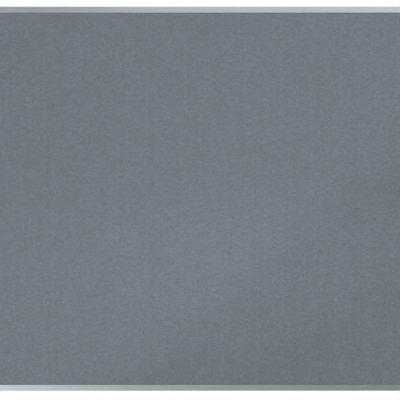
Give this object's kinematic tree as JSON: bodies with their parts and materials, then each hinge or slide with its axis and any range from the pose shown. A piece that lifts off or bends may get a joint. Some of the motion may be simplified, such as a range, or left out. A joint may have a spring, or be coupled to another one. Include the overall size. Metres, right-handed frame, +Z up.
{
  "type": "felt notice board",
  "caption": "Landscape wall notice board: grey felt on a softboard panel, held in a slim aluminium frame with moulded corners whose push-in covers hide the wall screws.",
  "frame": {"origin": "middle of the board, on the wall plane that the backs of the four corners touch", "axes": "+X to the right along the long side as seen from the front, +Y into the wall, so the felt faces -Y, and +Z up"},
  "size_m": [1.2, 0.0185, 0.9],
  "materials": {
    "grey_felt": "matte",
    "softboard": "matte",
    "hardboard": "satin",
    "anodised_aluminium": "satin",
    "grey_abs": "satin",
    "zinc_plated_steel": "satin"
  },
  "bodies": {
    "board": {"felt_facing": "grey_felt", "softboard_core": "softboard", "hardboard_back": "hardboard", "rail_bottom": "anodised_aluminium", "rail_right": "anodised_aluminium", "rail_top": "anodised_aluminium", "rail_left": "anodised_aluminium", "corner_bottom_left": "grey_abs", "corner_bottom_right": "grey_abs", "corner_top_right": "grey_abs", "corner_top_left": "grey_abs", "screw_bottom_rail_left_end": "zinc_plated_steel", "screw_bottom_rail_right_end": "zinc_plated_steel", "screw_right_rail_bottom_end": "zinc_plated_steel", "screw_right_rail_top_end": "zinc_plated_steel", "screw_top_rail_right_end": "zinc_plated_steel", "screw_top_rail_left_end": "zinc_plated_steel", "screw_left_rail_top_end": "zinc_plated_steel", "screw_left_rail_bottom_end": "zinc_plated_steel"},
    "bottom_left_cover": {"cover_bottom_left": "grey_abs"},
    "bottom_right_cover": {"cover_bottom_right": "grey_abs"},
    "top_right_cover": {"cover_top_right": "grey_abs"},
    "top_left_cover": {"cover_top_left": "grey_abs"}
  },
  "joints": [
    {"name": "bottom_left_cover_slide", "type": "slide", "parent": "board", "child": "bottom_left_cover", "axis": [0, -1, 0], "range_m": [0, 0.015]},
    {"name": "bottom_right_cover_slide", "type": "slide", "parent": "board", "child": "bottom_right_cover", "axis": [0, -1, 0], "range_m": [0, 0.015]},
    {"name": "top_right_cover_slide", "type": "slide", "parent": "board", "child": "top_right_cover", "axis": [0, -1, 0], "range_m": [0, 0.015]},
    {"name": "top_left_cover_slide", "type": "slide", "parent": "board", "child": "top_left_cover", "axis": [0, -1, 0], "range_m": [0, 0.015]}
  ]
}
